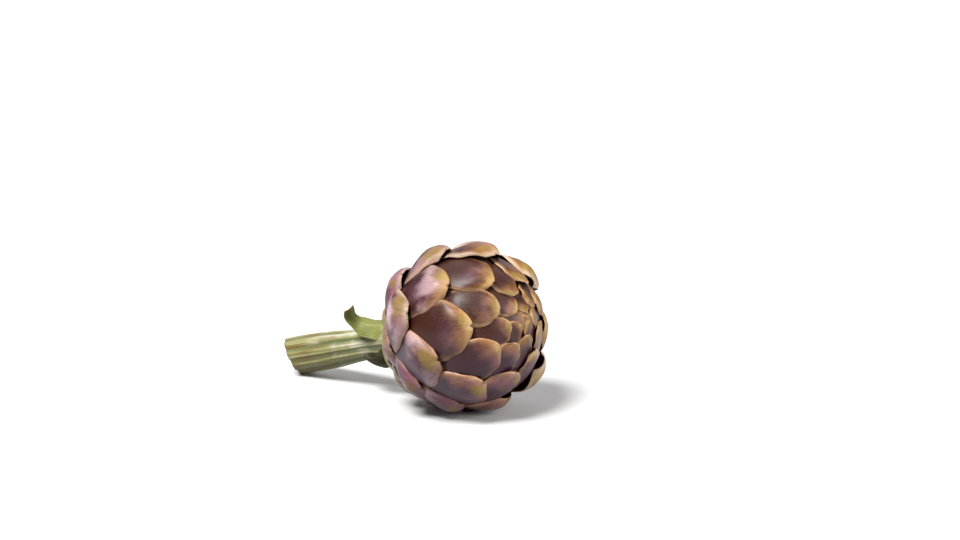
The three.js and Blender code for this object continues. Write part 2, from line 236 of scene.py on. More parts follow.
class LeafSizes(bpy.types.PropertyGroup):
    """Sizes of the neck leaves."""

    thickness: length("Thickness", "Thickness along the midrib at the root", 0.002)
    edge: length("Edge", "Thickness of the margin", 0.0006)
    cup: share("Cup", "How far the sides bend in, as a share of the half-width", 0.35)
    wave: length("Wave", "Height of the waves along the margin", 0.0007)


class Colours(bpy.types.PropertyGroup):
    """Colours of the artichoke and the floor."""

    mauve: colour("Mauve", "Shaded lower part of an outer bract", 54, 15, 42)
    rose: colour("Rose", "Belly of an outer bract", 140, 88, 104)
    umber: colour("Umber", "Shaded lower part of a crown bract", 62, 26, 12)
    tan: colour("Tan", "Belly of a crown bract", 146, 96, 44)
    # This colour is partly the real waxy bloom and partly a painted highlight on the outer bracts.
    bloom_and_highlight: colour("Bloom", "Waxy bloom on the belly", 228, 196, 200)
    olive: colour("Olive", "Patch near the tip of a bract", 140, 114, 54)
    blush: colour("Blush", "Purple blush across the middle of a bract", 88, 38, 74)
    neck: colour("Neck", "Yellow-green foot of the lowest bracts", 178, 166, 106)
    straw: colour("Straw", "Pale tips in the crown", 208, 174, 110)
    margin: colour("Margin", "Thin margin of a bract", 202, 158, 116)
    parched: colour("Parched", "Pale dry margin of a bract that has opened", 216, 198, 176)
    # This colour is the real colour of dried tips and marks, and in the heart it is also painted shade.
    bruise_and_shade: colour("Bruise", "Dried tips and marks", 56, 30, 22)
    # This colour is painted shade: the inner face of a bract, seen only in the cracks, is painted dark brown.
    inside: colour("Inside", "Inner face of a bract", 88, 40, 28)
    # This colour is painted shade: the dark brown that shows in the gaps between the bracts.
    heart: colour("Heart", "Flesh of the heart", 74, 34, 24)
    stem: colour("Stem", "Stem's skin", 154, 150, 96)
    # This colour is a painted highlight: the pale band round the middle of the stem.
    stem_green: colour("Stem green", "Greener stretches of the stem", 88, 98, 54)
    stem_highlight: colour("Stem pale", "Pale stretch near the head", 204, 200, 178)
    stem_ochre: colour("Stem ochre", "Dried streaks at the cut", 118, 90, 36)
    pith: colour("Pith", "Cut face of the stem", 186, 182, 142)
    leaf: colour("Leaf", "Neck leaf", 126, 130, 62)
    leaf_pale: colour("Leaf pale", "Veins and margins of a neck leaf", 172, 170, 108)
    # This colour is painted shade: dark olive brown on the lower leaf where it lies in shade under the neck.
    leaf_shade: colour("Leaf wilted", "The dried lower leaf", 44, 34, 14)
    floor: colour("Floor", "Floor", 224, 224, 224)


class StageSettings(bpy.types.PropertyGroup):
    """The camera, the lights and the floor."""

    lens: FloatProperty(name="Lens", description="Focal length in millimetres", default=85)
    distance: length("Distance", "Camera to the middle of the head", 1.326)
    azimuth: degrees("Azimuth", "Camera's azimuth", 38)
    elevation: degrees("Elevation", "Camera's elevation", 12.5)
    floor_size: length("Floor size", "Side of the floor", 14.0)
    key: strength("Key light", "Strength of the light from the left", 4.9)
    fill: strength("Fill light", "Strength of the light from the right", 2.8)
    rim: strength("Rim light", "Strength of the light from behind", 0.6)
    key_height: degrees("Key height", "Key light's angle above the floor", 59)
    key_softness: degrees("Key softness", "How wide the key light looks", 26)
    sky: strength("Sky", "Strength of the light from all round", 0.12)
    backdrop: strength("Backdrop", "Brightness of the backdrop", 1.0)


# ---- The head's own axis ----


class Axes:
    """The head's middle and its own directions, worked out from where the head and the stem touch."""

    REST_FLAT = 0.6 * MM

    def __init__(self, head, stem):
        low_side = math.cos(math.pi - stem.slant_turn)
        low_reach = stem.reach + stem.cut_radius * math.tan(stem.slant) * low_side
        height = head.rest_height + self.REST_FLAT
        self.tilt = math.asin(height / math.hypot(low_reach, stem.cut_radius))
        self.tilt -= math.atan(stem.cut_radius / low_reach)
        self.centre = Vector((0, 0, head.rest_height))
        self.axis = Vector((math.cos(self.tilt), 0, math.sin(self.tilt)))
        self.upper = Vector((-math.sin(self.tilt), 0, math.cos(self.tilt)))
        self.side = Vector((0, 1, 0))

    def across(self, azimuth):
        """Unit vector across the axis: 0 is the upper side, a quarter turn is towards +Y."""
        return self.upper * math.cos(azimuth) + self.side * math.sin(azimuth)

    def point(self, along, off, azimuth):
        """A point by its distance along the axis from the head's middle and its distance off the axis."""
        return self.centre + self.axis * along + self.across(azimuth) * off


def outline_radius(head, polar):
    """Radius of the head's outline at a polar angle in degrees from the stem."""
    tip = head.tip_flattening * smooth(*TIP_FLATTENED, polar)
    base = head.base_flattening * (1 - smooth(*BASE_FLATTENED, polar))
    return head.radius * (1 - tip - base)


# ---- Sums with nodes ----


class Field:
    """A value in a node tree. Sums and products of fields add Math nodes."""

    def __init__(self, tree, socket):
        self.tree = tree
        self.socket = socket

    def __add__(self, other):
        return maths("ADD", self, other)

    def __radd__(self, other):
        return maths("ADD", other, self)

    def __sub__(self, other):
        return maths("SUBTRACT", self, other)

    def __rsub__(self, other):
        return maths("SUBTRACT", other, self)

    def __mul__(self, other):
        return maths("MULTIPLY", self, other)

    def __rmul__(self, other):
        return maths("MULTIPLY", other, self)

    def __truediv__(self, other):
        return maths("DIVIDE", self, other)

    def __pow__(self, power):
        return maths("POWER", self, power)

    def __abs__(self):
        return maths("ABSOLUTE", self)

    def least(self, other):
        return maths("MINIMUM", self, other)

    def most(self, other):
        return maths("MAXIMUM", self, other)

    def sine(self):
        return maths("SINE", self)

    def cosine(self):
        return maths("COSINE", self)

    def hump(self, middle, width):
        """1 at the middle, falling away on both sides as a bell curve does."""
        return maths("EXPONENT", -1 * ((self - middle) / width) ** 2)

    def step(self, low, high, bottom=0.0, top=1.0):
        """A smooth step from bottom, where this is low, to top, where it is high."""
        node = self.tree.nodes.new("ShaderNodeMapRange")
        node.interpolation_type = "SMOOTHSTEP"
        for socket, value in zip(node.inputs, (self, low, high, bottom, top)):
            plug(self.tree, socket, value)
        return Field(self.tree, node.outputs[0])


def plug(tree, socket, value):
    """Links a field or a node's socket into a socket, or sets a plain value on it."""
    if isinstance(value, Field):
        tree.links.new(value.socket, socket)
    elif isinstance(value, bpy.types.NodeSocket):
        tree.links.new(value, socket)
    else:
        socket.default_value = value


def maths(operation, *values):
    """The result of a Math node on fields and plain numbers."""
    tree = next(value.tree for value in values if isinstance(value, Field))
    node = tree.nodes.new("ShaderNodeMath")
    node.operation = operation
    for socket, value in zip(node.inputs, values):
        plug(tree, socket, value)
    return Field(tree, node.outputs[0])


# ---- Meshes ----


def plain_object(name, points, faces, attributes):
    """An object with smooth faces and one float attribute for each name in attributes."""
    mesh = bpy.data.meshes.new(name)
    mesh.from_pydata(points, [], faces)
    for attribute, values in attributes.items():
        mesh.attributes.new(attribute, "FLOAT", "POINT").data.foreach_set("value", values)
    mesh.polygons.foreach_set("use_smooth", [True] * len(mesh.polygons))
    thing = bpy.data.objects.new(name, mesh)
    bpy.context.scene.collection.objects.link(thing)
    return thing


def blade_object(name, columns, rows, root, point_at):
    """A closed two-sided blade from point_at(across, along, outer), with faces closest at its margins."""
    points, across, along, outer = [], [], [], []
    for face in (1, 0):
        for row in range(rows + 1):
            for column in range(columns + 1):
                t = 2 * column / columns - 1
                s = 1 - (1 - row / rows) ** ROW_CROWDING
                u = (1 - SIDE_CROWDING) * t + SIDE_CROWDING * math.sin(t * math.pi / 2)
                v = root + (1 - root) * s
                points.append(point_at(u, v, face))
                across.append(u)
                along.append(v)
                outer.append(face)

    def at(face, row, column):
        return face * (rows + 1) * (columns + 1) + row * (columns + 1) + column

    faces = []
    for row in range(rows):
        for column in range(columns):
            corners = [(row, column), (row, column + 1), (row + 1, column + 1), (row + 1, column)]
            faces.append([at(0, *corner) for corner in reversed(corners)])
            faces.append([at(1, *corner) for corner in corners])
    rim = [(0, column) for column in range(columns)]
    rim += [(row, columns) for row in range(rows)]
    rim += [(rows, column) for column in range(columns, 0, -1)]
    rim += [(row, 0) for row in range(rows, 0, -1)]
    for start, end in zip(rim, rim[1:] + rim[:1]):
        faces.append([at(1, *end), at(1, *start), at(0, *start), at(0, *end)])
    return plain_object(name, points, faces, {"across": across, "along": along, "outer": outer})


def ringed_object(name, rings, around, point_at, **attributes):
    """A closed tube from point_at(ring, turn), whose first and last rings are points."""
    points = [point_at(rings[0], 0.0)]
    places = [(rings[0], 0.0)]
    for ring in rings[1:-1]:
        for step in range(around):
            places.append((ring, step / around))
            points.append(point_at(ring, step / around))
    places.append((rings[-1], 0.0))
    points.append(point_at(rings[-1], 0.0))
    last = len(points) - 1
    faces = []
    for step in range(around):
        following = (step + 1) % around
        faces.append([0, 1 + step, 1 + following])
        foot = last - around
        faces.append([last, foot + following, foot + step])
    for ring in range(len(rings) - 3):
        for step in range(around):
            a = 1 + ring * around + step
            b = 1 + ring * around + (step + 1) % around
            faces.append([a, a + around, b + around, b])
    values = {key: [value(*place) for place in places] for key, value in attributes.items()}
    return plain_object(name, points, faces, values)


def finish_piece(thing, material, slot, *nodes):
    """Gives a finished piece its material, and ties it to the frame."""
    thing.data.materials.clear()
    thing.data.materials.append(material)
    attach(thing, "root")
    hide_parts(*nodes)


# ---- The bracts ----


@dataclass
class Bract:
    """Where one bract sits and how large it is. Angles are in radians and lengths in metres."""

    tip_angle: float
    azimuth: float
    size: float
    exposure: float
    reach: float
    half_width: float
    flare: float
    bulge: float
    loose: float
    number: float


def bract_size(tip):
    """Size against the largest bract, by the polar angle of the tip in degrees."""
    low = LOW_SIZE + (1 - LOW_SIZE) * smooth(*LOW_RANGE, tip)
    return low * (1 - (1 - CROWN_SIZE) * smooth(*CROWN_RANGE, tip))


def looseness(tip, azimuth):
    """How far a bract has opened away from the head."""
    most = 0.0
    for middle, spread, first, last, gap in OPENED:
        turn = abs((azimuth - middle + 180) % 360 - 180)
        if turn < spread and first < tip < last:
            most = max(most, gap)
    return most


def bract_spiral(head):
    """The bracts from the stem to the tip, each a golden angle round from the last."""
    bracts = []
    tip = FIRST_TIP
    while tip < LAST_TIP:
        i = len(bracts)
        size = bract_size(tip)
        azimuth = FIRST_AZIMUTH + i * GOLDEN_ANGLE + (draw(i, 0) - 0.5) * AZIMUTH_SCATTER
        breadth = size ** head.small_breadth
        room = math.radians(tip - ROOT_ANGLE) * head.radius
        bracts.append(Bract(
            tip_angle=math.radians(tip),
            azimuth=math.radians(azimuth),
            size=size,
            exposure=head.exposure * size,
            reach=min(head.exposure * head.overlap * breadth, room),
            half_width=head.half_width * breadth * (0.94 + 0.12 * draw(i, 1)),
            flare=head.flare * max(size, head.crown_flare * smooth(110, 140, tip)) * draw(i, 2) ** 2,
            bulge=head.bulge * size * (0.8 + 0.4 * draw(i, 3)),
            loose=looseness(tip, azimuth) * (0.7 + 0.3 * draw(i, 4)),
            number=i,
        ))
        ring = 2 * math.pi * head.radius * max(math.sin(math.radians(tip)), CLOSED_RING)
        tip += math.degrees(head.bract_area * size * size / ring / head.radius)
    return bracts


def seat_object(name, bracts):
    """One point for each bract, which carries the bract's sizes."""
    columns = zip(*(astuple(bract) for bract in bracts))
    attributes = {field.name: values for field, values in zip(fields(Bract), columns)}
    return plain_object(name, [(0, 0, 0)] * len(bracts), [], attributes)


class BractTree:
    """The node tree that grows a blade on every seat and bends it to the head."""

    LENGTHS = {
        "Head Radius": "radius", "Rest Height": "rest_height", "Root Sink": "root_sink", "Layer": "layer",
        "Thickness": "thickness", "Edge": "edge", "Tuck": "tuck", "Press": "press", "Squeeze": "squeeze",
        "Keel": "keel", "Wave": "wave", "Twist": "twist",
    }
    SHARES = {"Tip Flattening": "tip_flattening", "Base Flattening": "base_flattening", "Notch": "notch"}

    def __init__(self):
        self.tree = bpy.data.node_groups.new("Bracts on a spiral", "GeometryNodeTree")
        face = self.tree.interface
        kinds = {"Geometry": "Geometry", "Blade": "Object", "Material": "Material"}
        kinds |= dict.fromkeys((*self.LENGTHS, *self.SHARES, "Tilt"), "Float") | {"Seed": "Int"}
        for name, kind in kinds.items():
            face.new_socket(name, in_out="INPUT", socket_type="NodeSocket" + kind)
        face.new_socket("Geometry", in_out="OUTPUT", socket_type="NodeSocketGeometry")
        self.inputs = self.node("NodeGroupInput")
        blades = self.grow()
        shaped = self.node("GeometryNodeSetPosition", Geometry=blades, Position=self.place())
        closed = self.node("GeometryNodeSetShadeSmooth", Geometry=shaped.outputs[0])
        painted = self.node(
            "GeometryNodeSetMaterial", Geometry=closed.outputs[0], Material=self.inputs.outputs["Material"]
        )
        self.node("NodeGroupOutput", Geometry=painted.outputs[0])

    def node(self, kind, **sockets):
        made = self.tree.nodes.new(kind)
        for name, value in sockets.items():
            plug(self.tree, made.inputs[name], value)
        return made

    def size(self, name):
        return Field(self.tree, self.inputs.outputs[name])

    def named(self, name):
        """The field of a named attribute."""
        node = self.node("GeometryNodeInputNamedAttribute", Name=name)
        return Field(self.tree, node.outputs["Attribute"])

    def random(self, low, high, offset):
        """A number from low to high that is the same all over one bract."""
        node = self.node("FunctionNodeRandomValue", Seed=self.size("Seed") + offset)
        node.inputs[2].default_value = low
        node.inputs[3].default_value = high
        plug(self.tree, node.inputs["ID"], self.named("number"))
        return Field(self.tree, node.outputs[1])

    def grow(self):
        """A copy of the blade on every seat, as real faces."""
        blade = self.node("GeometryNodeObjectInfo", Object=self.inputs.outputs["Blade"])
        copies = self.node(
            "GeometryNodeInstanceOnPoints",
            Points=self.inputs.outputs["Geometry"],
            Instance=blade.outputs["Geometry"],
        )
        return self.node("GeometryNodeRealizeInstances", Geometry=copies.outputs[0]).outputs[0]

    def widening(self, v):
        """Half-width of a bract against its widest, from its hidden root to its blunt tip."""
        rise = ROOT_WIDTH + (1 - ROOT_WIDTH) * (v.least(WIDEST).most(0) * (math.pi / 2 / WIDEST)).sine()
        fall = (1 - TIP_WIDTH) * ((v - WIDEST).most(0) / (1 - WIDEST)) ** TIP_NARROWING
        return rise - fall - ROOT_NARROWING * v.least(0) ** 2

    def place(self):
        """Where a point of a blade goes, by its place across and along the blade."""
        u, v, outer = self.named("across"), self.named("along"), self.named("outer")
        size, reach, exposure = self.named("size"), self.named("reach"), self.named("exposure")
        azimuth, loose = self.named("azimuth"), self.named("loose")
        head_radius, tilt = self.size("Head Radius"), self.size("Tilt")
        side = abs(u)
        upper_part = v.most(0)

        notch = self.size("Notch") * self.random(0.3, 1.6, 1) * u.hump(0, 0.1) * v.step(0.86, 1)
        along = reach * (v - TIP_ROUNDING * side ** 2 * v * v - notch)
        back = (reach - along) / head_radius
        aside = u * self.widening(v) * self.named("half_width") / head_radius

        meridian = self.named("tip_angle") - back
        ring = aside.cosine() * meridian.sine()
        to_upper = ring * azimuth.cosine() - aside.sine() * azimuth.sine()
        to_side = ring * azimuth.sine() + aside.sine() * azimuth.cosine()
        to_stem = aside.cosine() * meridian.cosine()
        x = -1 * (tilt.sine() * to_upper + tilt.cosine() * to_stem)
        z = tilt.cosine() * to_upper - tilt.sine() * to_stem

        polar = maths("ARCCOSINE", to_stem.least(1).most(-1)) * math.degrees(1)
        outline = head_radius * (
            1 - self.size("Tip Flattening") * polar.step(*TIP_FLATTENED)
            - self.size("Base Flattening") * polar.step(*BASE_FLATTENED, 1, 0)
        )
        dip = self.size("Layer") * (THIN_LAYER + THICK_LAYER * size) * (reach - along) / exposure
        sink = self.size("Root Sink") * (0.4 + 0.6 * size) * v.least(0) ** 2
        belly = self.named("bulge") * v.hump(BULGE_AT, BULGE_SPREAD) * (1 - u * u)
        tuck = self.size("Tuck") * size * side ** 2.5
        opening = loose * v.step(0.15, 0.7) * (1 - 0.4 * v.step(0.7, 1))
        press = self.size("Press") * size * v.step(0.8, 1) ** 1.5
        squeeze = self.size("Squeeze") * z.step(*SQUEEZED, 1, 0)
        free = self.named("flare") * v.step(0.74, 1) ** 2 + opening
        lift = free * z.step(*HELD_DOWN) + squeeze - press
        relief = self.relief(u, v, side, size)

        fullness = (1 - 0.7 * side ** 3) * (1 - 0.7 * upper_part ** 5)
        full = self.size("Thickness") * (0.45 + 0.55 * size) * fullness
        thickness = (self.size("Edge") * (0.4 + 0.6 * size)).most(full)
        rounding = side.step(0.94, 1).most(v.step(0.965, 1)) * EDGE_ROUNDING
        room = self.size("Rest Height") / (-1 * z).most(0.0001)
        surface = (outline - dip - sink + belly - tuck + lift + relief).least(room)
        radius = surface - thickness * (outer * rounding + (1 - outer) * (1 - rounding))

        spot = self.node("ShaderNodeCombineXYZ")
        plug(self.tree, spot.inputs[0], x * radius)
        plug(self.tree, spot.inputs[1], to_side * radius)
        plug(self.tree, spot.inputs[2], z * radius + self.size("Rest Height"))
        return spot.outputs[0]

    def relief(self, u, v, side, size):
        """The low forms on a bract: its keel, its waved margin and the lap over its neighbour."""
        keel = self.size("Keel") * size * u.hump(0, 0.18) * v.step(0.2, 0.6) * v.step(0.85, 1, 1, 0)
        phase = v * self.random(9, 15, 2) + u * 2 + self.random(0, 6.28, 3)
        ruffle = self.named("tip_angle").step(*(math.radians(angle) for angle in RUFFLED), 1, RUFFLE)
        wave = self.size("Wave") * size.most(0.6) * ruffle * side ** 3 * phase.sine() * v.step(0.35, 0.75)
        twist = self.size("Twist") * size * u * self.random(0.3, 1.5, 4) * v.step(0.2, 0.7)
        return keel + wave + twist

    def modify(self, thing, head, axes, blade, material):
        """Adds the tree to an object, with its inputs set from the sizes."""
        modifier = thing.modifiers.new("Bracts", "NODES")
        modifier.node_group = self.tree
        values = {name: getattr(head, key) for name, key in {**self.LENGTHS, **self.SHARES}.items()}
        values |= {"Tilt": axes.tilt, "Seed": head.seed, "Blade": blade, "Material": material}
        for socket in self.tree.interface.items_tree:
            if socket.in_out == "INPUT" and socket.name in values:
                modifier[socket.identifier] = values[socket.name]


def made_plain(thing, name):
    """Turns what an object's modifiers make into a plain mesh object, and removes the first object."""
    graph = bpy.context.evaluated_depsgraph_get()
    mesh = bpy.data.meshes.new_from_object(thing.evaluated_get(graph))
    mesh.name = name
    bpy.data.objects.remove(thing)
    plain = bpy.data.objects.new(name, mesh)
    bpy.context.scene.collection.objects.link(plain)
    return plain


class ARTICHOKE_OT_bracts(bpy.types.Operator):
    """Grow the bracts of the head, in three pieces from the stem to the crown"""

    bl_idname = "artichoke.bracts"
    bl_label = "Bracts"

    def execute(self, context):
        head, stem = context.scene.artichoke_head, context.scene.artichoke_stem
        axes = Axes(head, stem)
        material = bract_material(context.scene.artichoke_colours)
        tree = BractTree()
        bracts = bract_spiral(head)
        for name, first, last, columns, rows in BRACT_ROWS:
            row = [bract for bract in bracts if first <= math.degrees(bract.tip_angle) < last]
            blade = blade_object("blade", columns, rows, -head.hidden, lambda u, v, outer: (u, v, outer))
            seats = seat_object("seats", row)
            tree.modify(seats, head, axes, blade, material)
            piece = made_plain(seats, name)
            bpy.data.objects.remove(blade)
            finish_piece(piece, material, "bract", "head")
        return {"FINISHED"}


# ---- The heart ----


class ARTICHOKE_OT_heart(bpy.types.Operator):
    """Make the heart that the bracts stand on, painted dark brown as painted shade in the gaps between them
    """

    bl_idname = "artichoke.heart"
    bl_label = "Heart"

    RINGS = 40
    AROUND = 72
    LAYERS_DEEP = 2.2

    def execute(self, context):
        head, stem = context.scene.artichoke_head, context.scene.artichoke_stem
        axes = Axes(head, stem)

        def point_at(ring, turn):
            polar = 180 * ring
            depth = head.layer * (THIN_LAYER + THICK_LAYER * bract_size(polar)) * self.LAYERS_DEEP
            radius = outline_radius(head, polar) - depth
            angle = math.radians(polar)
            return axes.point(-radius * math.cos(angle), radius * math.sin(angle), -turn * math.tau)

        rings = [ring / self.RINGS for ring in range(self.RINGS + 1)]
        heart = ringed_object("heart", rings, self.AROUND, point_at)
        finish_piece(heart, heart_shade_material(context.scene.artichoke_colours), "bract", "head")
        return {"FINISHED"}


# ---- The stem ----


class ARTICHOKE_OT_stem(bpy.types.Operator):
    """Make the ribbed stem with its cut face"""

    bl_idname = "artichoke.stem"
    bl_label = "Stem"

    AROUND = 216
    CAP_RINGS = 12
    SIDE_RINGS = 90
    CUT_BEVEL = 0.03
    TAPER = (0.068, 0.12)
    FINE_RIBS = 27

    def execute(self, context):
        head, stem = context.scene.artichoke_head, context.scene.artichoke_stem
        axes = Axes(head, stem)

        def radius_at(reach):
            flare = (stem.flare_radius - stem.neck_radius) * (1 - smooth(stem.top, stem.flare_end, reach))
            taper = (stem.cut_radius - stem.neck_radius) * smooth(*self.TAPER, reach)
            return stem.neck_radius + flare + taper

        def point_at(place, turn):
            along, inward = place
            azimuth = -turn * math.tau
            side = math.cos(azimuth - stem.slant_turn) * (1 - inward)
            slant = side * math.tan(stem.slant) * stem.cut_radius * along ** 3
            reach = stem.top + (stem.reach - stem.top) * along + slant
            hollow = stem.hollow * smooth(0.05, 0.7, inward) if along == 1 else 0
            rib = 1 + stem.rib_depth * (abs(math.cos(stem.ribs * azimuth / 2)) - 0.5)
            fine = stem.fine_ribs * math.sin(self.FINE_RIBS * azimuth + 1.3 * math.sin(4 * azimuth))
            knots = 1 + 0.012 * math.sin(9 * along + azimuth) + 0.008 * math.sin(23 * along - 2 * azimuth)
            off = radius_at(reach) * (rib + fine) * knots * (1 - inward)
            bow = stem.bow * math.sin(math.pi * along)
            spot = axes.point(-(reach - hollow), off, azimuth) + axes.side * bow
            spot.z = max(spot.z, 0)
            return spot

        rings = [(0, 1 - ring / self.CAP_RINGS) for ring in range(self.CAP_RINGS)]
        rings += [(ring / self.SIDE_RINGS, 0) for ring in range(self.SIDE_RINGS + 1)]
        rings += [(1, self.CUT_BEVEL)]
        rings += [(1, ring / self.CAP_RINGS) for ring in range(1, self.CAP_RINGS + 1)]
        piece = ringed_object(
            "stem_stalk", rings, self.AROUND, point_at,
            cut=lambda place, turn: 1.0 if place[0] == 1 and place[1] > 0 else 0.0,
            inward=lambda place, turn: place[1],
            reach_share=lambda place, turn: place[0],
            groove=lambda place, turn: 1 - abs(math.cos(stem.ribs * turn * math.pi)),
        )
        finish_piece(piece, stem_material(context.scene.artichoke_colours, axes), "stem", "stem")
        return {"FINISHED"}


# ---- The neck leaves ----


class ARTICHOKE_OT_neck_leaves(bpy.types.Operator):
    """Make the small leaves at the neck"""

    bl_idname = "artichoke.neck_leaves"
    bl_label = "Neck leaves"

    COLUMNS = 24
    ROWS = 60

    def execute(self, context):
        scene = context.scene
        axes = Axes(scene.artichoke_head, scene.artichoke_stem)
        sizes = scene.artichoke_leaf
        material = leaf_material(scene.artichoke_colours)
        for number, (node, azimuth, twist, half_width, line) in enumerate(NECK_LEAVES):
            spots = [Vector(spot) * MM for spot in line]
            turn = math.radians(azimuth)

            def point_at(u, v, outer):
                middle, heading = bezier(spots, v)
                belly = 0.75 + 0.25 * math.sin(math.pi * min(1, v * 1.6))
                width = half_width * MM * (1 - (1 - LEAF_TIP_WIDTH) * v ** 1.1) * belly
                turned = math.radians(twist) * smooth(0.2, 0.9, v)
                cup = sizes.cup * width * u * u
                wave = sizes.wave * abs(u) ** 3 * math.sin(17 * v + 2 * number + 2 * u)
                full = sizes.thickness * (1 - 0.6 * u * u) * (1 - 0.6 * v)
                proud = wave - cup - (0 if outer else max(sizes.edge, full)) + u * width * math.sin(turned)
                reach = middle.x - heading.y * proud
                off = middle.y + heading.x * proud
                sideways = axes.across(turn - math.pi / 2)
                return axes.point(-reach, off, turn) + sideways * (u * width * math.cos(turned))

            piece = blade_object(node + "_blade", self.COLUMNS, self.ROWS, 0, point_at)
            painted_shade = piece.data.attributes.new("painted_shade", "FLOAT", "POINT")
            painted_shade.data.foreach_set("value", [float(node == SHADED_LEAF)] * len(piece.data.vertices))
            finish_piece(piece, material, "leaf", node)
        return {"FINISHED"}


def bezier(spots, t):
    """Point and unit heading of a cubic Bezier curve."""
    a, b, c, d = spots
    s = 1 - t
    point = a * s ** 3 + b * (3 * s * s * t) + c * (3 * s * t * t) + d * t ** 3
    heading = (b - a) * (s * s) + (c - b) * (2 * s * t) + (d - c) * (t * t)
    return point, heading.normalized()


# ---- Materials ----


class Paint:
    """A material's node tree, with short calls for the nodes that the finishes use."""

    def __init__(self, name):
        self.material = bpy.data.materials.new(name)
        self.material.use_nodes = True
        self.tree = self.material.node_tree
        self.shader = self.tree.nodes["Principled BSDF"]

    def node(self, kind, **sockets):
        made = self.tree.nodes.new(kind)
        for name, value in sockets.items():
            plug(self.tree, made.inputs[name.replace("_", " ")], value)
        return made

    def attribute(self, name):
        node = self.node("ShaderNodeAttribute")
        node.attribute_name = name
        return Field(self.tree, node.outputs["Fac"])

    def place(self):
        """The point on the piece, in metres."""
        return self.node("ShaderNodeTexCoord").outputs["Object"]

    def vector(self, *parts):
        node = self.node("ShaderNodeCombineXYZ")
        for socket, part in zip(node.inputs, parts):
            plug(self.tree, socket, part)
        return node.outputs[0]

    def noise(self, vector, scale, detail=3.0, roughness=0.55, distortion=0.0):
        node = self.node(
            "ShaderNodeTexNoise", Vector=vector, Scale=scale, Detail=detail,
            Roughness=roughness, Distortion=distortion,
        )
        return Field(self.tree, node.outputs["Fac"])

    def mix(self, share_of_second, first, second):
        node = self.node("ShaderNodeMix")
        node.data_type = "RGBA"
        plug(self.tree, node.inputs[0], share_of_second)
        plug(self.tree, node.inputs[6], first)
        plug(self.tree, node.inputs[7], second)
        return node.outputs[2]

    def bump(self, height, distance, strength=1.0):
        node = self.node("ShaderNodeBump", Height=height, Distance=distance, Strength=strength)
        plug(self.tree, self.shader.inputs["Normal"], node.outputs[0])

    def set(self, **sockets):
        for name, value in sockets.items():
            plug(self.tree, self.shader.inputs[name.replace("_", " ")], value)


# Steps and starts of the three draws from 0 to 1 that vary one bract's colours from the next.
BRACT_DRAWS = ((0.6180, 0.1), (0.7549, 0.3), (0.5698, 0.7))


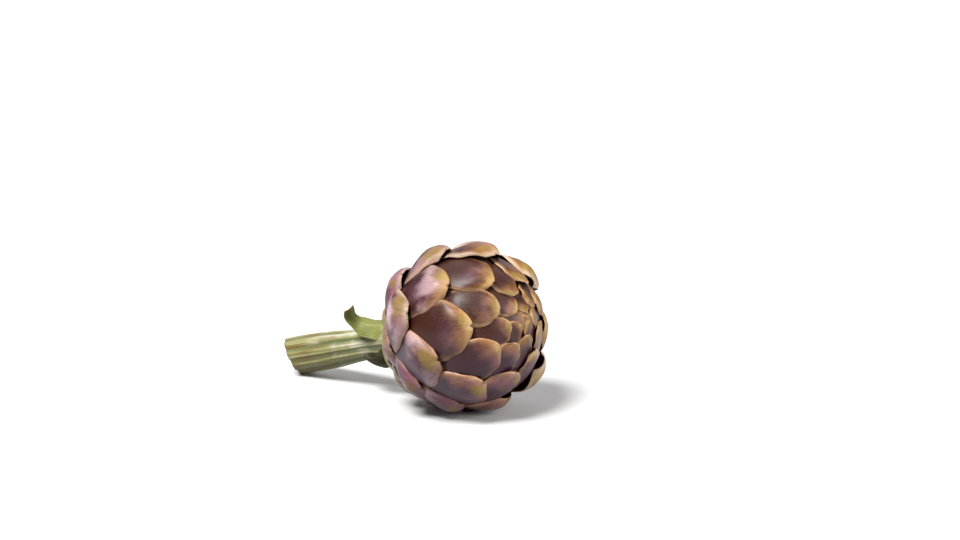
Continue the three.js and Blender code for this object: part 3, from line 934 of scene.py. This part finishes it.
def bract_material(colours):
    """Waxy skin: mauve or brown at the root, darkened there as painted shade, paler on the belly with a bloom
    that is partly painted highlight, olive or straw near the tip.
    """
    paint = Paint("bract_skin")
    u, v = paint.attribute("across"), paint.attribute("along")
    number, outer = paint.attribute("number"), paint.attribute("outer")
    angle = paint.attribute("tip_angle") * math.degrees(1)
    place = paint.place()
    height = Field(paint.tree, paint.node("ShaderNodeSeparateXYZ", Vector=place).outputs["Z"])
    side = abs(u)
    first, second, third = (maths("FRACT", number * step + start) for step, start in BRACT_DRAWS)

    fibres = paint.noise(paint.vector(u * 24, v * 1.6, number * 3.7), 1.0, 5, 0.65, 0.3)
    patch = paint.noise(paint.vector(u * 1.3, v * 2.1, number * 5.3), 1.0, 3, 0.5)
    cloud = paint.noise(place, 60, 3, 0.55)
    blotch = paint.noise(place, 140, 5, 0.62)
    fleck = paint.noise(place, 700, 4, 0.65)

    crown = angle.step(100, 150)
    # Painted light: the upper side of the head, where the light falls, is painted browner and less purple
    # than the lower side.
    lit_top = height.step(0.028, 0.058)
    brown = angle.step(84, 142) * (0.4 + 0.45 * lit_top) + lit_top * angle.step(72, 100) * 0.5
    brown = (brown + first * 0.4 + (cloud - 0.5) * 1.4 - 0.4).least(1).most(0)
    # The lower part of each bract, under the bract that laps over it, is painted dark: its own purple or
    # brown, darkened as painted shade.
    low = paint.mix(brown, colours.mauve, colours.umber)
    body = paint.mix(brown, colours.rose, colours.tan)
    rise = (v + 0.35 * (blotch - 0.5) + 0.6 * (patch - 0.5)).step(0.5, 0.92)
    skin = paint.mix(rise, low, body)
    blush = (u - (first - 0.5) * 0.6).hump(0, 0.5) * v.hump(0.62, 0.16)
    blush = blush * (cloud + second * 0.5).step(0.5, 0.85)
    skin = paint.mix(blush * (0.95 - 0.4 * crown - 0.2 * lit_top), skin, colours.blush)
    # Waxy bloom and painted highlight: a pale lilac patch on the bellies of the outer bracts, which also
    # stands in for the highlight on them.
    wax_and_highlight = v.hump(0.72, 0.18) * patch.step(0.4, 0.6) * (0.2 + 0.8 * second) * angle.step(95, 140, 1, 0.1)
    skin = paint.mix(wax_and_highlight * 0.9, skin, colours.bloom_and_highlight)
    mottle = paint.noise(place, 85, 4, 0.6, 0.8).step(0.5, 0.66) * v.step(0.45, 0.75) * angle.step(70, 110)
    skin = paint.mix(mottle * (0.2 + 0.4 * first), skin, colours.olive)
    edge = side.step(0.72, 1).most((v + 0.1 * (patch - 0.5)).step(0.86, 1))
    skin = paint.mix(edge * (0.05 + 0.45 * third + 0.3 * crown), skin, colours.margin)
    ring = side.most(v * 1.02).hump(0.88, 0.1) * v.step(0.6, 0.85)
    spot = (u - (second - 0.5) * 1.1).hump(0, 0.45) * ring
    spot = (spot + 1.1 * (blotch - 0.5) + 0.6 * (third - 0.6)).step(0.2, 0.7)
    skin = paint.mix(spot * 0.85, skin, colours.olive)
    foot = angle.step(40, 74, 1, 0) * (0.4 + 0.6 * v.step(0.4, 0.9, 1, 0)) * (0.5 + blotch)
    skin = paint.mix(foot.least(0.85), skin, colours.neck)

    tip = angle.step(98, 130) * (v + 0.14 * (blotch - 0.5)).step(0.8, 0.96)
    tip = tip * (patch + 0.4 * second).step(0.5, 0.8)
    skin = paint.mix(tip * 0.65, skin, colours.straw)
    rim = (side + 0.05 * (blotch - 0.5)).step(0.92, 0.985).most((v + 0.04 * (blotch - 0.5)).step(0.955, 0.99))
    skin = paint.mix(rim * (0.25 + 0.35 * first + 0.3 * crown), skin, colours.margin)
    parched = (paint.attribute("loose") * 330).least(1) * side.step(0.8, 0.97).most(v.step(0.9, 0.98)) * 0.5
    skin = paint.mix(parched, skin, colours.parched)
    skin = paint.mix(fibres.step(0.5, 0.75) * 0.5, skin, low)
    dried = v.step(0.965, 1) * u.hump(0, 0.25 * third + 0.06) * 0.8
    marks = (fleck * 0.5 + blotch * 0.3 + cloud * 0.25).step(0.58, 0.66) * 0.6
    skin = paint.mix(dried.most(marks), skin, colours.bruise_and_shade)
    # Painted shade: the inner faces, seen in the cracks between the bracts, are painted dark brown.
    skin = paint.mix((1 - outer) * 0.85, skin, colours.inside)
    paint.set(Base_Color=skin, Roughness=0.4 + 0.3 * (blotch - 0.5) + 0.1 * spot - 0.06 * wax_and_highlight)
    paint.set(Specular_IOR_Level=0.2, Coat_Weight=0.35, Coat_Roughness=0.34)
    paint.bump(fibres * 0.7 + fleck * 0.2 + blotch * 0.9 + cloud * 0.6, 0.0009, 0.55)
    return paint.material


def heart_shade_material(colours):
    """Painted shade: dark brown that stands for the shade in the gaps between the bracts, the only place
    where the heart shows.
    """
    paint = Paint("heart_shade")
    grain = paint.noise(paint.place(), 300, 4, 0.6)
    paint.set(Base_Color=paint.mix(grain.step(0.3, 0.7), colours.bruise_and_shade, colours.heart), Roughness=0.7)
    paint.bump(grain, 0.0004, 0.5)
    return paint.material


def stem_material(colours, axes):
    """Ribbed pale green skin with dried streaks towards the cut, and pale pith in the cut face."""
    paint = Paint("stem_skin")
    turned = paint.node("ShaderNodeMapping", Vector=paint.place())
    turned.vector_type = "TEXTURE"
    turned.inputs["Rotation"].default_value = (0, -axes.tilt, 0)
    turned.inputs["Scale"].default_value = (24, 1, 1)
    lengthwise = turned.outputs[0]
    reach, cut, inward = (paint.attribute(name) for name in ("reach_share", "cut", "inward"))
    groove = paint.attribute("groove")
    streaks = paint.noise(lengthwise, 620, 5, 0.62, 0.2)
    bands = paint.noise(lengthwise, 260, 3, 0.5)
    cloud = paint.noise(paint.place(), 70, 3, 0.55)
    fleck = paint.noise(paint.place(), 800, 4, 0.65)

    skin = paint.mix((bands * 0.6 + groove * 0.45).step(0.35, 0.7) * 0.85, colours.stem, colours.stem_green)
    # Painted highlight: a pale whitish band round the middle of the stem.
    pale = (bands + cloud * 0.7).step(0.95, 0.7) * (reach + 0.3 * (cloud - 0.5)).hump(0.45, 0.24)
    skin = paint.mix(pale, skin, colours.stem_highlight)
    dried = (streaks + 0.25 * (cloud - 0.5)).step(0.46, 0.6) * reach.step(0.4, 0.95) * 0.9
    skin = paint.mix(dried, skin, colours.stem_ochre)
    skin = paint.mix(fleck.step(0.6, 0.74) * 0.3, skin, colours.bruise_and_shade)
    fibre = paint.noise(paint.place(), 1300, 3, 0.7)
    ring = inward.step(0.02, 0.16, 0.9, 0).most(inward.hump(0.3, 0.06) * 0.5)
    pith = paint.mix((fibre.step(0.5, 0.7) * 0.5).most(ring), colours.pith, colours.stem_ochre)
    skin = paint.mix(cut, skin, pith)
    paint.set(Base_Color=skin, Roughness=0.5 + 0.2 * (cloud - 0.5), Sheen_Weight=0.12, Sheen_Roughness=0.5)
    paint.bump(streaks * 0.8 + bands * 0.4 + fleck * 0.3 + fibre * cut, 0.0008, 0.6)
    return paint.material


def leaf_material(colours):
    """Soft green leaf with pale veins and a paler back; the lower leaf is painted dark olive brown as painted
    shade.
    """
    paint = Paint("leaf_skin")
    u, v = paint.attribute("across"), paint.attribute("along")
    outer, painted_shade = paint.attribute("outer"), paint.attribute("painted_shade")
    cloud = paint.noise(paint.place(), 120, 4, 0.6)
    fleck = paint.noise(paint.place(), 700, 4, 0.65)
    fibres = paint.noise(paint.vector(u * 14, v * 1.5, painted_shade * 5), 1.0, 4, 0.6, 0.2)
    veins = maths("SINE", (v * 9 - abs(u) * 3.2 + cloud) * 6.283).step(0.6, 1.0) * abs(u).step(0.05, 0.25)
    midrib = u.hump(0, 0.08)
    skin = paint.mix((veins * 0.25).most(midrib * 0.6), colours.leaf, colours.leaf_pale)
    skin = paint.mix(cloud.step(0.45, 0.75) * 0.5, skin, colours.stem_green)
    skin = paint.mix(fibres.step(0.5, 0.75) * 0.35, skin, colours.stem_green)
    skin = paint.mix(abs(u).step(0.9, 1.0) * 0.5, skin, colours.leaf_pale)
    skin = paint.mix((1 - outer) * 0.35, skin, colours.leaf_pale)
    skin = paint.mix(v.step(0.82, 1.0) * 0.55, skin, colours.stem_ochre)
    # Painted shade: the lower leaf is painted dark olive brown.
    skin = paint.mix((painted_shade * (0.55 + 0.7 * cloud)).least(1), skin, colours.leaf_shade)
    skin = paint.mix(fleck.step(0.6, 0.72) * 0.3, skin, colours.bruise_and_shade)
    paint.set(Base_Color=skin, Roughness=0.5 + 0.2 * (cloud - 0.5) + 0.3 * painted_shade, Specular_IOR_Level=0.35)
    paint.bump(veins * 0.3 + midrib * 0.8 + fibres * 0.5 + cloud * 0.5, 0.0007, 0.6)
    return paint.material


def floor_material(colours):
    """Pale matt paint, which throws less light back up than a bare white table would."""
    paint = Paint("floor_paint")
    grain = paint.noise(paint.place(), 6, 3, 0.5)
    tint = tuple(colours.floor)
    shade, cloudy = (tuple(channel * part for channel in tint[:3]) + (1,) for part in (0.22, 0.97))
    bounce = paint.node("ShaderNodeLightPath").outputs["Is Diffuse Ray"]
    seen = paint.mix(grain.step(0.4, 0.6), tint, cloudy)
    paint.set(Base_Color=paint.mix(bounce, seen, shade), Roughness=0.75)
    return paint.material


# ---- The stage ----


class ARTICHOKE_OT_stage(bpy.types.Operator):
    """Set the floor, the lights and the camera"""

    bl_idname = "artichoke.stage"
    bl_label = "Stage"

    FRAME_WIDTH = 960
    FRAME_HEIGHT = 540
    HEAD_PIXEL = (465.5, 328.5)
    SENSOR = 36
    WIDE = math.radians(60)

    def execute(self, context):
        scene = context.scene
        settings = scene.artichoke_stage
        centre = Vector((0, 0, scene.artichoke_head.rest_height))
        a, e = settings.azimuth, settings.elevation
        back = Vector((math.sin(a) * math.cos(e), -math.cos(a) * math.cos(e), math.sin(e)))
        right = Vector((math.cos(a), math.sin(a), 0))
        up = back.cross(right)
        self.add_floor(scene, settings)
        self.add_camera(scene, settings, centre, back, right, up)
        self.add_lights(scene, settings, right, back)
        scene.view_settings.view_transform = "Standard"
        return {"FINISHED"}

    def add_floor(self, scene, settings):
        half = settings.floor_size / 2
        corners = [(-half, -half, 0), (half, -half, 0), (half, half, 0), (-half, half, 0)]
        floor = plain_object("floor", corners, [(0, 1, 2, 3)], {})
        floor.data.materials.append(floor_material(scene.artichoke_colours))
        floor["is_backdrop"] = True

    def add_camera(self, scene, settings, centre, back, right, up):
        """The camera stands so that the middle of the head falls on its pixel of the frame."""
        camera = bpy.data.cameras.new("camera")
        camera.lens = settings.lens
        camera.sensor_width = self.SENSOR
        view = bpy.data.objects.new("camera", camera)
        scene.collection.objects.link(view)
        pixel = settings.distance * self.SENSOR / settings.lens / self.FRAME_WIDTH
        aside = (self.FRAME_WIDTH / 2 - self.HEAD_PIXEL[0]) * pixel
        above = (self.HEAD_PIXEL[1] - self.FRAME_HEIGHT / 2) * pixel
        view.location = centre + back * settings.distance + right * aside + up * above
        view.rotation_euler = (-back).to_track_quat("-Z", "Y").to_euler()
        scene.camera = view

    def add_lights(self, scene, settings, right, back):
        """A soft key light from the upper left, a weak fill and rim light, and a sky that shows white."""
        level = (back - Vector((0, 0, back.z))).normalized()
        key = (level - right).normalized() * math.cos(settings.key_height)
        key.z = math.sin(settings.key_height)
        self.add_sun(scene, "key", settings.key, settings.key_softness, key)
        self.add_sun(scene, "fill", settings.fill, self.WIDE, right + level * 0.25 + Vector((0, 0, 0.35)))
        self.add_sun(scene, "rim", settings.rim, self.WIDE, Vector((0, 0, 0.8)) - level)

        world = bpy.data.worlds.new("sky")
        world.use_nodes = True
        tree = world.node_tree
        seen = tree.nodes.new("ShaderNodeLightPath").outputs["Is Camera Ray"]
        strength = Field(tree, seen) * (settings.backdrop - settings.sky) + settings.sky
        plug(tree, tree.nodes["Background"].inputs["Color"], (1, 1, 1, 1))
        plug(tree, tree.nodes["Background"].inputs["Strength"], strength)
        scene.world = world

    def add_sun(self, scene, name, strength, angle, towards):
        light = bpy.data.lights.new(name, "SUN")
        light.energy = strength
        light.angle = angle
        lamp = bpy.data.objects.new(name, light)
        scene.collection.objects.link(lamp)
        lamp.rotation_euler = (-towards).to_track_quat("-Z", "Y").to_euler()


# ---- The add-on ----


class ARTICHOKE_PT_panel(bpy.types.Panel):
    """Buttons that make the artichoke, piece by piece"""

    bl_idname = "ARTICHOKE_PT_panel"
    bl_label = "Artichoke"
    bl_space_type = "VIEW_3D"
    bl_region_type = "UI"
    bl_category = "Artichoke"

    def draw(self, context):
        for operator in OPERATORS:
            self.layout.operator(operator.bl_idname)
        for key in SETTINGS:
            settings = getattr(context.scene, key)
            box = self.layout.box()
            for name in settings.bl_rna.properties.keys():
                if name not in ("rna_type", "name"):
                    box.prop(settings, name)


SETTINGS = {
    "artichoke_head": HeadSizes,
    "artichoke_stem": StemSizes,
    "artichoke_leaf": LeafSizes,
    "artichoke_colours": Colours,
    "artichoke_stage": StageSettings,
}
OPERATORS = (
    ARTICHOKE_OT_bracts,
    ARTICHOKE_OT_heart,
    ARTICHOKE_OT_stem,
    ARTICHOKE_OT_neck_leaves,
    ARTICHOKE_OT_stage,
)


def register():
    for made in (*SETTINGS.values(), *OPERATORS, ARTICHOKE_PT_panel):
        bpy.utils.register_class(made)
    for key, group in SETTINGS.items():
        setattr(bpy.types.Scene, key, PointerProperty(type=group))


def unregister():
    for key in SETTINGS:
        delattr(bpy.types.Scene, key)
    for made in reversed((*SETTINGS.values(), *OPERATORS, ARTICHOKE_PT_panel)):
        bpy.utils.unregister_class(made)


def main():
    register()
    bpy.ops.artichoke.bracts()
    bpy.ops.artichoke.heart()
    bpy.ops.artichoke.stem()
    bpy.ops.artichoke.neck_leaves()
    bpy.ops.artichoke.stage()
    boxes = {"cad": CAD_BOX, "visual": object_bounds()}
    {key: [list(corner) for corner in box] for key, box in boxes.items()}


if __name__ == "__main__":
    main()
